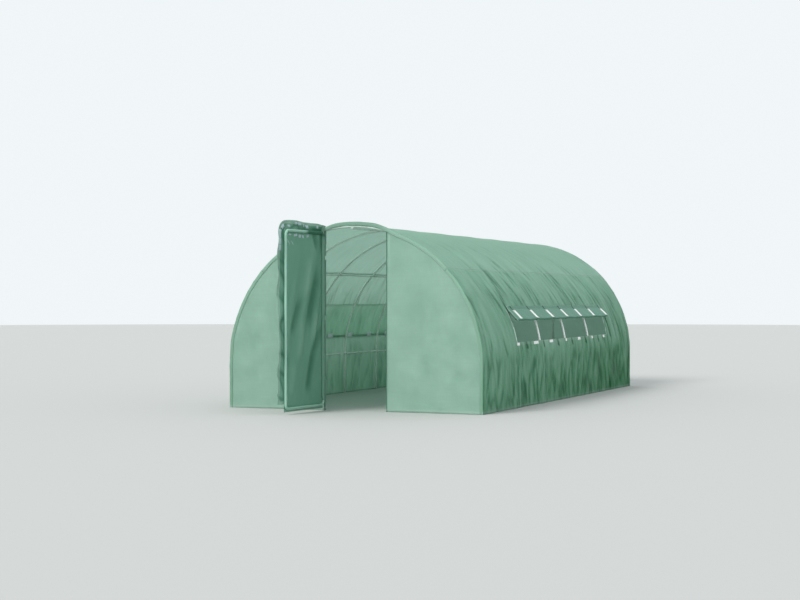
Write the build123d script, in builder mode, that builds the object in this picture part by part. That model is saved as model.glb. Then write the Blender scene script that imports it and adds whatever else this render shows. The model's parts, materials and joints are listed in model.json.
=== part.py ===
"""Walk-in polytunnel greenhouse: seven tube hoops, five purlins, a split cover and a hinged door leaf."""
import os
from math import asin, atan2, cos, degrees, hypot, radians, sin, sqrt

from build123d import *

os.makedirs("parts", exist_ok=True)

# Overall sizes, over the cover
length = 6000
width = 3000
leg_height = 500
arch_radius = width / 2

# Tubes, cover and the gap between them; the many tubes are drawn with few sides, corners on the true round
tube = 25
purlin_tube = 20
tube_sides = 8
cover = 3
seat = 0.3
hoop_count = 7

# Joints in the hoops: each leg and arch tube ends in a narrow swage
swage_gap = 4
swage_diameter = 21

# Purlin ends pressed flat and bolted under each hoop
tab_thickness = 6
tab_skin = 0.2
tab_width = 30
tab_reach = 24
press_length = 45
shoulder_purlin_height = 1520
side_purlin_height = 510

# Doorway and its posts
door_centre = 38
post_spacing = 765
post_cover_lap = 28.5
rear_post_spacing = 765

# Door leaf, hinged on its own stile in front of the wall
hinge_side_step = 15
hinge_forward = 24
leaf_width = 765
leaf_bottom = 60
leaf_top_drop = 80
leaf_corner = 50
leaf_open_angle = 95
panel_drop = 35
flap_width = 85
top_flap_height = 67
tape_thickness = 1.5
top_tape_places = (280, 690)
top_tape_length = 190
side_tape_length = 210
panel_tape_length = 300

# Hinge clips: one ring holds the post, the other turns on the stile
clip_height = 30
clip_wall = 3
clip_play = 0.4
clip_web = 12
clip_low_rise = 290
clip_top_drop = 270
clip_room = 6
clip_notch = 32
ring_sides = 16

# Long side windows, the same on both sides
window_start = 1150
window_end = 4850
window_sill = 750
window_head = 1100
flap_lap = 45
open_flap_drop = 118
open_flap_reach = 116
open_flap_thickness = 8
strip_count = 7
strip_pitch = 595
strip_first = 1290
strip_length = 120
strip_width = 23
strip_inset = 15
tab_count = 7
tab_pitch = 585
tab_first = 1200
tab_length = 40
tab_height = 26
left_tab_count = 6
left_tab_pitch = 598
left_tab_first = 1340
left_tab_length = 90
left_tab_height = 50
left_tab_rise = 15

# Sizes worked out from the ones above
hoop_radius = arch_radius - cover - seat - tube / 2
leaf_top = leg_height + arch_radius - leaf_top_drop
low_clip = leaf_bottom + clip_low_rise
top_clip = leaf_top - clip_top_drop
clip_heights = (low_clip, (low_clip + top_clip) / 2, top_clip)
frame_inset = cover + seat + tube / 2
hoop_pitch = (length - 2 * frame_inset) / (hoop_count - 1)
leaf_angle = radians(leaf_open_angle)
panel_back = tube / 2 + seat
flap_reach = leaf_width + tube / 2 + flap_width
door_reach = hinge_forward + flap_reach * sin(leaf_angle) + panel_back * cos(leaf_angle)
front = (door_reach - length) / 2
rear = front + length
front_hoop = front + frame_inset
rear_hoop = rear - frame_inset
left_post = door_centre - post_spacing / 2
right_post = door_centre + post_spacing / 2
hinge_x = left_post + hinge_side_step
hinge_y = front - hinge_forward
sill_angle = degrees(asin((window_sill - leg_height) / arch_radius))
head_angle = degrees(asin((window_head - leg_height) / arch_radius))
shoulder_angle = degrees(asin((shoulder_purlin_height - leg_height) / arch_radius))
arch_axis = Axis((0, 0, leg_height), (0, -1, 0))
leaf_plane = Plane(
    origin=(hinge_x, hinge_y, 0),
    x_dir=(cos(leaf_angle), -sin(leaf_angle), 0),
    z_dir=(-sin(leaf_angle), -cos(leaf_angle), 0),
)


def save(piece, name):
    piece.part.label = name
    export_step(piece.part, f"parts/{name}.step")


def arch_point(radius, angle):
    """Point of the cross-section at an angle above the right-hand springing."""
    turn = radians(angle)
    return (radius * cos(turn), leg_height + radius * sin(turn))


def springing_plane(angle):
    """Radial plane through the arch's axis, with X outwards and Z around the arch."""
    turn = radians(angle)
    return Plane(
        origin=(0, 0, leg_height), x_dir=(cos(turn), 0, sin(turn)), z_dir=(-sin(turn), 0, cos(turn))
    )


# Hoop: two legs, two side arcs and a crown arc over one swaged core, so each joint shows as a neck
with BuildPart() as hoop:
    with BuildSketch(Plane.XY):
        with Locations((-hoop_radius, 0), (hoop_radius, 0)):
            RegularPolygon(tube / 2, tube_sides)
    extrude(amount=leg_height - swage_gap)
    with BuildSketch(Plane.XY.offset(leg_height - swage_gap)):
        with Locations((-hoop_radius, 0), (hoop_radius, 0)):
            RegularPolygon(swage_diameter / 2, tube_sides)
    extrude(amount=swage_gap)
    neck_angle = degrees(swage_gap / hoop_radius)
    arc_starts = (0, shoulder_angle, 180 - shoulder_angle + neck_angle)
    arc_ends = (shoulder_angle - neck_angle, 180 - shoulder_angle, 180)
    for arc_start, arc_end in zip(arc_starts, arc_ends):
        with BuildSketch(springing_plane(arc_start)):
            with Locations((hoop_radius, 0)):
                RegularPolygon(tube / 2, tube_sides)
        revolve(axis=arch_axis, revolution_arc=arc_end - arc_start)
    for neck_start in (shoulder_angle - neck_angle, 180 - shoulder_angle):
        with BuildSketch(springing_plane(neck_start)):
            with Locations((hoop_radius, 0)):
                RegularPolygon(swage_diameter / 2, tube_sides)
        revolve(axis=arch_axis, revolution_arc=neck_angle)

for number in range(hoop_count):
    with BuildPart() as placed_hoop:
        with Locations((0, front_hoop + number * hoop_pitch, 0)):
            add(hoop.part)
    save(placed_hoop, f"hoop_{number + 1}")


# Purlins: round tubes whose ends are pressed flat into tabs and bolted under every hoop
hoop_places = [(front_hoop + number * hoop_pitch, 0) for number in range(hoop_count)]
purlin_radius = hoop_radius - tube / 2 - seat - tab_thickness / 2 - tab_skin
press_end = tab_reach + press_length
end_reach = tube / 2
flat_height = tab_thickness / 2 + tab_skin
cut_height = purlin_tube
cut_end = tab_reach + press_length * (cut_height - flat_height) / (purlin_tube / 2 - flat_height)


with BuildPart() as purlin:
    with BuildSketch(Plane(origin=(0, front_hoop - press_end, 0), x_dir=(1, 0, 0), z_dir=(0, 1, 0))):
        RegularPolygon(purlin_tube / 2, tube_sides, rotation=180 / tube_sides)
    extrude(amount=rear_hoop - front_hoop + 2 * press_end)
    for side in (-1, 1):
        with BuildSketch(Plane.YZ):
            with Locations(hoop_places):
                Polygon(
                    (-cut_end, side * cut_height),
                    (-tab_reach, side * flat_height),
                    (tab_reach, side * flat_height),
                    (cut_end, side * cut_height),
                    align=None,
                )
        extrude(amount=purlin_tube, both=True, mode=Mode.SUBTRACT)
    tab_plane = Plane(origin=(0, 0, 0), x_dir=(0, 1, 0), z_dir=(0, 0, 1))
    with BuildSketch(tab_plane):
        with Locations(hoop_places):
            Polygon(
                (-press_end, -purlin_tube / 2),
                (-tab_reach, -tab_width / 2),
                (tab_reach, -tab_width / 2),
                (press_end, -purlin_tube / 2),
                (press_end, purlin_tube / 2),
                (tab_reach, tab_width / 2),
                (-tab_reach, tab_width / 2),
                (-press_end, purlin_tube / 2),
                align=None,
            )
    extrude(amount=tab_thickness / 2, both=True)
    with BuildSketch(tab_plane):
        with Locations((front_hoop - end_reach - press_end, 0), (rear_hoop + end_reach + press_end, 0)):
            Rectangle(2 * press_end, 2 * tab_width)
    extrude(amount=purlin_tube, both=True, mode=Mode.SUBTRACT)


def place_purlin(name, angle):
    x, z = arch_point(purlin_radius, angle)
    with BuildPart() as placed_purlin:
        with Locations(Location((x, 0, z), (0, 90 - angle, 0))):
            add(purlin.part)
    save(placed_purlin, name)


side_purlin_angle = degrees(asin((side_purlin_height - leg_height) / purlin_radius))
place_purlin("ridge_purlin", 90)
for line_name, angle in (("shoulder_purlin", shoulder_angle), ("side_purlin", side_purlin_angle)):
    place_purlin(f"{line_name}_right", angle)
    place_purlin(f"{line_name}_left", 180 - angle)


# Posts: each stands on the ground and is fish-mouthed to the underside of its end hoop
def make_post(name, x, y):
    rise = sqrt(hoop_radius**2 - x**2)
    with BuildPart() as post:
        with BuildSketch(Plane.XY):
            with Locations((x, y)):
                RegularPolygon(tube / 2, tube_sides)
        extrude(amount=leg_height + rise)
        with BuildSketch(springing_plane(0)):
            with Locations((hoop_radius, y)):
                RegularPolygon(tube / 2 + seat, tube_sides)
        revolve(axis=arch_axis, revolution_arc=180, mode=Mode.SUBTRACT)
    save(post, name)


make_post("front_post_left", left_post, front_hoop)
make_post("front_post_right", right_post, front_hoop)
make_post("rear_post_left", -rear_post_spacing / 2, rear_hoop)
make_post("rear_post_right", rear_post_spacing / 2, rear_hoop)


# End walls: flat sheets inside the cover's rim, the front one cut away for the doorway
wall_radius = arch_radius - cover - seat


def make_end_wall(name, x_from, x_to, outer_face, into, slit_edge=None):
    with BuildPart() as wall:
        with BuildSketch(Plane.XZ.offset(-outer_face)):
            with BuildLine():
                Polyline(
                    (wall_radius, leg_height), (wall_radius, 0), (-wall_radius, 0), (-wall_radius, leg_height)
                )
                CenterArc((0, leg_height), wall_radius, 0, 180)
            make_face()
            with Locations(((x_from + x_to) / 2, leg_height)):
                Rectangle(x_to - x_from, 2 * wall_radius, mode=Mode.INTERSECT)
            if slit_edge is not None:
                with Locations([(slit_edge, height) for height in clip_heights]):
                    Rectangle(2 * slit_reach, clip_height + 2 * clip_room, mode=Mode.SUBTRACT)
        extrude(amount=-into * cover)
    save(wall, name)


slit_reach = post_cover_lap + tube / 2 + clip_wall + clip_room
left_edge = left_post + post_cover_lap
make_end_wall("front_wall_left", -wall_radius, left_edge, front, 1, slit_edge=left_edge)
make_end_wall("front_wall_right", right_post - post_cover_lap, wall_radius, front, 1)
make_end_wall("rear_wall", -wall_radius, wall_radius, rear, -1)


# Cover: strips of one sheet, split along the purlins and round the two long windows
def make_cover(name, start, end, y_from, y_to, foot=0):
    """Strip between two angles above the springing; a foot of 1 or -1 runs down to the ground."""
    inner_radius = arch_radius - cover
    with BuildPart() as strip:
        with BuildSketch(Plane.XZ.offset(-y_from)):
            with BuildLine():
                outside = CenterArc((0, leg_height), arch_radius, start, end - start)
                inside = CenterArc((0, leg_height), inner_radius, start, end - start)
                Line(outside @ 1, inside @ 1)
                if foot:
                    Polyline(outside @ 0, (foot * arch_radius, 0), (foot * inner_radius, 0), inside @ 0)
                else:
                    Line(outside @ 0, inside @ 0)
            make_face()
        extrude(amount=y_from - y_to)
    save(strip, name)


window_from = front + window_start
window_to = front + window_end
make_cover("roof_cover", shoulder_angle, 180 - shoulder_angle, front, rear)
for side_name, foot in (("right", 1), ("left", -1)):
    springing, sill, head, shoulder = (
        angle if foot > 0 else 180 - angle for angle in (0, sill_angle, head_angle, shoulder_angle)
    )
    make_cover(f"side_cover_{side_name}", springing, sill, front, rear, foot)
    make_cover(f"window_end_front_{side_name}", sill, head, front, window_from)
    make_cover(f"window_end_rear_{side_name}", sill, head, window_to, rear)
    make_cover(f"shoulder_cover_{side_name}", head, shoulder, front, rear)


# Left window: its flap hangs closed over the opening and laps the cover all round
flap_radius = arch_radius + seat
lap_angle = degrees(flap_lap / arch_radius)
with BuildPart() as window_flap_left:
    with BuildSketch(Plane.XZ.offset(-(window_from - flap_lap))):
        with BuildLine():
            low = 180 - sill_angle + lap_angle
            span = head_angle - sill_angle + 2 * lap_angle
            outside = CenterArc((0, leg_height), flap_radius + cover, low, -span)
            inside = CenterArc((0, leg_height), flap_radius, low, -span)
            Line(outside @ 0, inside @ 0)
            Line(outside @ 1, inside @ 1)
        make_face()
    extrude(amount=window_from - window_to - 2 * flap_lap)
save(window_flap_left, "window_flap_left")

# Right window: its flap is folded up into a thick band that leans out below the head
band_top = arch_point(arch_radius + seat, head_angle)
band_turn = degrees(atan2(open_flap_drop, open_flap_reach))
band_length = hypot(open_flap_drop, open_flap_reach)
with BuildPart() as window_flap_right:
    with BuildSketch(Plane.XZ.offset(-(window_from - flap_lap))):
        with Locations(Location((band_top[0], band_top[1], 0), (0, 0, -band_turn))):
            Rectangle(band_length, open_flap_thickness, align=(Align.MIN, Align.MIN))
        fillet(vertices().group_by(Axis.X)[-1], open_flap_thickness / 2 - seat)
    extrude(amount=window_from - window_to - 2 * flap_lap)
save(window_flap_right, "window_flap_right")


# White fasteners: tabs along both windows' lower edges and long strips on the open flap
def make_tabs(name, angle, radius, outward, places, size):
    """Row of flat tabs at an angle above the right-hand springing, facing out of the cover or into it."""
    turn = radians(angle)
    x, z = arch_point(radius, angle)
    facing = (outward * cos(turn), 0, outward * sin(turn))
    with BuildPart() as sill_tabs:
        with BuildSketch(Plane(origin=(x, 0, z), x_dir=(0, 1, 0), z_dir=facing)):
            with Locations([(place, 0) for place in places]):
                Rectangle(*size)
        extrude(amount=tape_thickness)
    save(sill_tabs, name)


right_tab_angle = sill_angle - degrees(tab_height / 2 / arch_radius)
right_tab_places = [front + tab_first + number * tab_pitch for number in range(tab_count)]
right_tab_size = (tab_length, tab_height)
make_tabs("window_tabs_right", right_tab_angle, arch_radius + seat, 1, right_tab_places, right_tab_size)
left_tab_angle = 180 - sill_angle + degrees((left_tab_height / 2 - left_tab_rise) / arch_radius)
left_tab_radius = sqrt((arch_radius - cover - seat) ** 2 - (left_tab_height / 2) ** 2)
left_tab_places = [front + left_tab_first + number * left_tab_pitch for number in range(left_tab_count)]
left_tab_size = (left_tab_length, left_tab_height)
make_tabs("window_tabs_left", left_tab_angle, left_tab_radius, -1, left_tab_places, left_tab_size)

band_slope = radians(band_turn)
band_face = Plane(
    origin=(band_top[0], 0, band_top[1]),
    x_dir=(cos(band_slope), 0, -sin(band_slope)),
    z_dir=(sin(band_slope), 0, cos(band_slope)),
)
strip_places = [front + strip_first + number * strip_pitch for number in range(strip_count)]
with BuildPart() as window_strips:
    with BuildSketch(band_face.offset(open_flap_thickness + seat)):
        with Locations([(band_length - strip_length / 2 - strip_inset, place) for place in strip_places]):
            Rectangle(strip_length, strip_width)
    extrude(amount=tape_thickness)
save(window_strips, "window_strips")


# Hinge clips: a steel strap in a figure of eight, tight on the post and loose on the leaf's stile
for clip_name, height in zip(("low", "middle", "top"), clip_heights):
    post_centre = (left_post, front_hoop)
    stile_centre = (hinge_x, hinge_y)
    web_middle = ((left_post + hinge_x) / 2, (front_hoop + hinge_y) / 2)
    web_turn = degrees(atan2(front_hoop - hinge_y, left_post - hinge_x))
    web_length = sqrt((left_post - hinge_x) ** 2 + (front_hoop - hinge_y) ** 2)
    with BuildPart() as hinge_clip:
        with BuildSketch(Plane.XY.offset(height - clip_height / 2)):
            with Locations(Location(web_middle, web_turn)):
                Rectangle(web_length, clip_web)
            with Locations(post_centre):
                RegularPolygon(tube / 2 + seat + clip_wall, ring_sides, major_radius=False)
                RegularPolygon(tube / 2 + seat, ring_sides, major_radius=False, mode=Mode.SUBTRACT)
            with Locations(stile_centre):
                RegularPolygon(tube / 2 + clip_play + clip_wall, ring_sides, major_radius=False)
                RegularPolygon(tube / 2 + clip_play, ring_sides, major_radius=False, mode=Mode.SUBTRACT)
        extrude(amount=clip_height)
    save(hinge_clip, f"hinge_clip_{clip_name}")


# Door leaf: one bent tube loop with a cloth panel outside it and loose flaps beyond its top and free side
def leaf_section(along, height, direction):
    """Plane across the leaf's tube at a point of the leaf."""
    return Plane(
        origin=leaf_plane.from_local_coords((along, height, 0)), x_dir=leaf_plane.z_dir, z_dir=direction
    )


with BuildPart() as door_frame:
    for along in (0, leaf_width):
        with BuildSketch(leaf_section(along, leaf_bottom + leaf_corner, leaf_plane.y_dir)):
            RegularPolygon(tube / 2, tube_sides)
        extrude(amount=leaf_top - leaf_bottom - 2 * leaf_corner)
    for height in (leaf_bottom, leaf_top):
        with BuildSketch(leaf_section(leaf_corner, height, leaf_plane.x_dir)):
            RegularPolygon(tube / 2, tube_sides)
        extrude(amount=leaf_width - 2 * leaf_corner)
    for along, inward in ((0, 1), (leaf_width, -1)):
        for height, upward in ((leaf_bottom + leaf_corner, -1), (leaf_top - leaf_corner, 1)):
            with BuildSketch(leaf_section(along, height, leaf_plane.y_dir * upward)):
                RegularPolygon(tube / 2, tube_sides)
            bend_centre = leaf_plane.from_local_coords((along + inward * leaf_corner, height, 0))
            bend_axis = Axis(bend_centre, leaf_plane.z_dir * (-inward * upward))
            revolve(axis=bend_axis, revolution_arc=90)
save(door_frame, "door_frame")

panel_low = leaf_bottom - panel_drop
panel_high = leaf_top + tube / 2
panel_edge = leaf_width + tube / 2
with BuildPart() as door_panel:
    with BuildSketch(leaf_plane.offset(panel_back)):
        with Locations((-tube / 2, panel_low)):
            Rectangle(panel_edge + tube / 2, panel_high - panel_low, align=(Align.MIN, Align.MIN))
        with Locations([(-tube / 2, height) for height in clip_heights]):
            Rectangle(2 * clip_notch, clip_height + 2 * clip_room, mode=Mode.SUBTRACT)
    extrude(amount=cover)
save(door_panel, "door_panel")

with BuildPart() as door_side_flap:
    with BuildSketch(leaf_plane.offset(panel_back)):
        with Locations((panel_edge, panel_low)):
            Rectangle(flap_width, panel_high - panel_low, align=(Align.MIN, Align.MIN))
    extrude(amount=cover)
save(door_side_flap, "door_side_flap")

with BuildPart() as door_top_flap:
    with BuildSketch(leaf_plane.offset(panel_back)):
        with Locations((-tube / 2, panel_high)):
            Rectangle(panel_edge + tube / 2 + flap_width, top_flap_height, align=(Align.MIN, Align.MIN))
        fillet(vertices().group_by(Axis.Y)[-1], leaf_corner)
    extrude(amount=cover)
save(door_top_flap, "door_top_flap")

# Door tapes: white hook-and-loop pieces on the inner face of the flaps and of the panel's top
with BuildPart() as door_tapes:
    with BuildSketch(leaf_plane.offset(panel_back - seat)):
        with Locations([(place, panel_high + top_flap_height / 2) for place in top_tape_places]):
            Rectangle(top_tape_length, strip_width)
        with Locations((panel_edge + flap_width / 2, panel_high - side_tape_length / 2 - strip_width)):
            Rectangle(strip_width, side_tape_length)
        with Locations((leaf_width / 2 + strip_width, leaf_top - tube - strip_width)):
            Rectangle(panel_tape_length, strip_width)
    extrude(amount=-tape_thickness)
save(door_tapes, "door_tapes")
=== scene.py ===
import json
from math import asin, ceil, cos, pi, radians, sin, sqrt

import bmesh
import bpy
from mathutils import Matrix, Vector, noise


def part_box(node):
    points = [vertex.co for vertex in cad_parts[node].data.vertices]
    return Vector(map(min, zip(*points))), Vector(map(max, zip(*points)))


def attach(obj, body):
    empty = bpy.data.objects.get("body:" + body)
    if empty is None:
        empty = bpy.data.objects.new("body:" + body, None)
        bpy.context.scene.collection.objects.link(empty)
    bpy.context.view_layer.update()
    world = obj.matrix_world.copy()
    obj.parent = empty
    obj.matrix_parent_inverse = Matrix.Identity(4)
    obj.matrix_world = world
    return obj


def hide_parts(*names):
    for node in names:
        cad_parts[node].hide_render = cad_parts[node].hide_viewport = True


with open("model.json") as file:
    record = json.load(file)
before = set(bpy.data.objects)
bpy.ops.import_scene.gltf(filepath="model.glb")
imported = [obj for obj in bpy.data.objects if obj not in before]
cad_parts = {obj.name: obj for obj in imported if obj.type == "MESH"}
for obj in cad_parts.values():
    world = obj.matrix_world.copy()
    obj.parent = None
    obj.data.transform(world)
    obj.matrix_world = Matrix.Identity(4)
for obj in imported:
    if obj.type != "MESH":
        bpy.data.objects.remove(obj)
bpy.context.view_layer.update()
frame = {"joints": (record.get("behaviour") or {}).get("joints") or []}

# Studio
# The camera stands at the photograph's angle, a little over a metre up and well to the right of the doorway.
# The floor is plain and pale, and soft daylight comes from high in front of the tunnel, a little from the left.
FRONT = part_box("roof_cover")[0].y
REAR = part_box("roof_cover")[1].y

camera = bpy.data.objects.new("camera", bpy.data.cameras.new("camera"))
bpy.context.scene.collection.objects.link(camera)
bpy.context.scene.camera = camera
camera.location = (6.986, FRONT - 15.159, 1.186)
camera.rotation_euler = (radians(90), 0, radians(22.97))
camera.data.sensor_width = 36
camera.data.lens = 69.8
camera.data.shift_y = 0.0009
camera.data.clip_end = 200
bpy.context.scene.view_settings.view_transform = "Standard"

daylight = bpy.data.objects.new("daylight", bpy.data.lights.new("daylight", "SUN"))
daylight.data.energy = 2.4
daylight.data.angle = radians(24)
daylight.data.color = (1, 0.98, 0.95)
daylight.rotation_euler = Vector((0.30, 0.74, -0.60)).to_track_quat("-Z", "Y").to_euler()
bpy.context.scene.collection.objects.link(daylight)

world = bpy.data.worlds.new("pale_room")
bpy.context.scene.world = world
world.use_nodes = True
world.node_tree.nodes["Background"].inputs["Color"].default_value = (0.86, 0.90, 0.92, 1)
world.node_tree.nodes["Background"].inputs["Strength"].default_value = 1.02

floor_paint = bpy.data.materials.new("pale_floor")
floor_paint.use_nodes = True
floor_paint.node_tree.nodes["Principled BSDF"].inputs["Base Color"].default_value = (0.48, 0.49, 0.48, 1)
floor_paint.node_tree.nodes["Principled BSDF"].inputs["Roughness"].default_value = 0.85
bm = bmesh.new()
bmesh.ops.create_circle(bm, cap_ends=True, segments=96, radius=60)
studio_floor = bpy.data.objects.new("studio_floor", bpy.data.meshes.new("studio_floor"))
bm.to_mesh(studio_floor.data)
bm.free()
studio_floor.data.materials.append(floor_paint)
bpy.context.scene.collection.objects.link(studio_floor)

# Hoops
# Each hoop is bent from 25 mm galvanized tube in five lengths: a leg, a side arc, a crown arc, a side arc and
# a leg. One end of each length is swaged down and pushed into the next, which leaves a narrow neck.
def middle_of(node, axis):
    """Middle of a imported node's box along an axis, 0 to 2."""
    low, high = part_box(node)
    return (low[axis] + high[axis]) / 2


LEG = 0.5
TUBE = 0.025
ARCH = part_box("roof_cover")[1].z - LEG
HOOP_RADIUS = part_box("hoop_1")[1].x - TUBE / 2
hoop_names = [f"hoop_{number + 1}" for number in range(7)]
HOOP_PLACES = [middle_of(name, 1) for name in hoop_names]
SHOULDER_HEIGHT = 1.52
SHOULDER = asin((SHOULDER_HEIGHT - LEG) / ARCH)
UP = Vector((0, 0, 1))
ARCH_TURN = (0, -1, 0)
ROUND = 20
STEPS_PER_RADIAN = 36
NECK_LENGTH = 0.004
NECK_SCALE = 0.86
SWAGE_STEPS = ((0.001, 1), (0.0003, NECK_SCALE), (NECK_LENGTH, 1), (0.0003, 1 / NECK_SCALE), (0.001, 1))
SWAGE_LENGTH = sum(length for length, _ in SWAGE_STEPS)


class Recipe:
    """A material in the making. A new node's inputs are given in order or by name, as values or as other nodes'
    outputs, and its own first output comes back."""

    def __init__(self, name):
        self.material = bpy.data.materials.new(name)
        self.material.use_nodes = True
        self.nodes, self.links = self.material.node_tree.nodes, self.material.node_tree.links

    def plug(self, node, values):
        for key, value in values:
            socket = node.inputs[key.replace("_", " ") if isinstance(key, str) else key]
            if isinstance(value, bpy.types.NodeSocket):
                self.links.new(value, socket)
            else:
                socket.default_value = value

    def made(self, kind, *ordered, **named):
        node = self.nodes.new(kind)
        self.plug(node, [*enumerate(ordered), *named.items()])
        return node.outputs[0]

    def maths(self, operation, *values):
        result = self.made("ShaderNodeMath", *values)
        result.node.operation = operation
        return result

    def ramp(self, value, low, high, to_low, to_high):
        return self.made("ShaderNodeMapRange", value, low, high, to_low, to_high)

    def tinted(self, factor, first, second, blend="MIX"):
        node = self.nodes.new("ShaderNodeMix")
        node.data_type = "RGBA"
        node.blend_type = blend
        self.plug(node, ((0, factor), (6, first), (7, second)))
        return node.outputs[2]

    def flat_map(self):
        node = self.nodes.new("ShaderNodeUVMap")
        node.uv_map = "flat"
        return node.outputs[0]

    def object_place(self):
        return self.nodes.new("ShaderNodeTexCoord").outputs["Object"]

    def wear(self, **values):
        """Sets what the shader is fed with, and gives the material."""
        self.plug(self.nodes["Principled BSDF"], values.items())
        return self.material


def galvanized(name, dark, light, roughness, metallic):
    """Zinc on steel: cloudy patches of two greys, dull spots and fine grain in the gloss."""
    zinc = Recipe(name)
    place = zinc.object_place()
    cloud = zinc.made("ShaderNodeTexNoise", Vector=place, Scale=14, Detail=6)
    grain = zinc.made("ShaderNodeTexNoise", Vector=place, Scale=220)
    return zinc.wear(
        Base_Color=zinc.tinted(zinc.ramp(cloud, 0.35, 0.65, 0, 1), (*dark, 1), (*light, 1)),
        Roughness=zinc.ramp(grain, 0, 1, roughness - 0.08, roughness + 0.1),
        Metallic=metallic,
        Normal=zinc.made("ShaderNodeBump", Height=grain, Strength=0.15, Distance=0.0004),
    )


tube_zinc = galvanized("tube_zinc", (0.80, 0.85, 0.82), (0.93, 0.95, 0.93), 0.34, 0.12)
# A darker copy of the zinc for the front hoop: painted shade that dims its sunlit crown under the raised brim.
shaded_front_zinc = galvanized("shaded_front_zinc", (0.38, 0.50, 0.44), (0.52, 0.64, 0.58), 0.4, 0.12)


def show(name, bm, body, material, replaced=(), rounded=True):
    """Makes a piece of a bmesh: it rides on its body, wears its material and stands for what it replaces."""
    piece = bpy.data.objects.new(name, bpy.data.meshes.new(name))
    for face in bm.faces:
        face.smooth = rounded and len(face.verts) == 4
    bm.to_mesh(piece.data)
    bm.free()
    piece.data.materials.append(material)
    bpy.context.scene.collection.objects.link(piece)
    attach(piece, body)
    if replaced:
        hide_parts(*replaced)
    return piece


def new_ring(bm, middle, ahead, radius=TUBE / 2):
    """Starts a tube: a closed end and the edges of its ring, square to the way ahead."""
    turn = Vector(ahead).to_track_quat("Z", "Y").to_matrix().to_4x4()
    made = bmesh.ops.create_circle(
        bm, cap_ends=True, segments=ROUND, radius=radius, matrix=Matrix.Translation(middle) @ turn
    )
    return list({edge for vert in made["verts"] for edge in vert.link_edges})


def run_on(bm, ring, step):
    """Carries a tube's ring straight on."""
    made = bmesh.ops.extrude_edge_only(bm, edges=ring)["geom"]
    bmesh.ops.translate(bm, verts=[part for part in made if isinstance(part, bmesh.types.BMVert)], vec=step)
    return [part for part in made if isinstance(part, bmesh.types.BMEdge)]


def bend_on(bm, ring, centre, axis, angle, steps=1):
    """Carries a tube's ring round a bend."""
    made = bmesh.ops.spin(bm, geom=ring, cent=centre, axis=axis, angle=angle, steps=steps)["geom_last"]
    return [part for part in made if isinstance(part, bmesh.types.BMEdge)]


def ring_verts(ring):
    return {vert for edge in ring for vert in edge.verts}


def swage(ring, carry):
    """Steps a tube down to a narrow neck and up again; carry takes a ring along the tube by a length."""
    for length, factor in SWAGE_STEPS:
        ring = carry(ring, length)
        verts = ring_verts(ring)
        middle = sum((vert.co for vert in verts), Vector()) / len(verts)
        for vert in verts:
            vert.co = middle + (vert.co - middle) * factor
    return ring


def close_end(bm, ring):
    bmesh.ops.contextual_create(bm, geom=ring)
    bmesh.ops.recalc_face_normals(bm, faces=bm.faces)


hoop = bmesh.new()
ring = new_ring(hoop, (HOOP_RADIUS, 0, 0), UP)
ring = run_on(hoop, ring, UP * (LEG - SWAGE_LENGTH))
ring = swage(ring, lambda at, length: run_on(hoop, at, UP * length))
side_arc = SHOULDER - SWAGE_LENGTH / HOOP_RADIUS
for number, arc in enumerate((side_arc, pi - 2 * SHOULDER, side_arc)):
    ring = bend_on(hoop, ring, (0, 0, LEG), ARCH_TURN, arc, ceil(arc * STEPS_PER_RADIAN))
    if number < 2:
        ring = swage(
            ring, lambda at, length: bend_on(hoop, at, (0, 0, LEG), ARCH_TURN, length / HOOP_RADIUS)
        )
ring = swage(ring, lambda at, length: run_on(hoop, at, -UP * length))
ring = run_on(hoop, ring, -UP * (LEG - SWAGE_LENGTH))
close_end(hoop, ring)
for name, place in zip(hoop_names, HOOP_PLACES):
    placed = hoop.copy()
    bmesh.ops.translate(placed, verts=placed.verts, vec=(0, place, 0))
    # The front hoop wears the darker copy of the zinc: painted shade.
    zinc = shaded_front_zinc if place == HOOP_PLACES[0] else tube_zinc
    show(f"bent_{name}", placed, "tunnel", zinc, [name])
hoop.free()

# Purlins
# Five 20 mm tubes run the whole length under the hoops. Each is pressed flat where it passes a hoop and held
# there by one hexagon-headed screw with a washer.
PURLIN = 0.02
PURLIN_DROP = 0.0035
PURLIN_RADIUS = HOOP_RADIUS - TUBE / 2 - PURLIN_DROP
SIDE_PURLIN_HEIGHT = 0.51
SIDE_PURLIN = asin((SIDE_PURLIN_HEIGHT - LEG) / PURLIN_RADIUS)
FLAT_WIDTH = 0.029
FLAT_HEIGHT = 0.006
FLAT_REACH = 0.022
PRESS = 0.045
SCREW_HEAD = 0.0065
WASHER = 0.0015


def purlin_stations():
    """Places along a purlin, from the front hoop, with how far each is pressed, from 0 to 1."""
    span = HOOP_PLACES[-1] - HOOP_PLACES[0]
    slope = (1, 0), (0.7, 0.16), (0.3, 0.84), (0, 1)
    stations = [(-TUBE / 2, 1)]
    for place in HOOP_PLACES:
        for end, steps in ((-1, slope), (1, reversed(slope))):
            for share, pressed in steps:
                stations.append((place - HOOP_PLACES[0] + end * (FLAT_REACH + PRESS * share), pressed))
    stations.append((span + TUBE / 2, 1))
    return [station for station in stations if -TUBE / 2 <= station[0] <= span + TUBE / 2]


def pressed_size(pressed):
    """Width and height of a purlin, as shares of the round tube's."""
    return 1 + pressed * (FLAT_WIDTH / PURLIN - 1), 1 + pressed * (FLAT_HEIGHT / PURLIN - 1)


def add_rod(bm, radius, sides, length, matrix):
    """Adds a closed round or six-sided rod along the matrix's Z."""
    bmesh.ops.create_cone(
        bm, cap_ends=True, segments=sides, radius1=radius, radius2=radius, depth=length, matrix=matrix
    )


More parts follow.
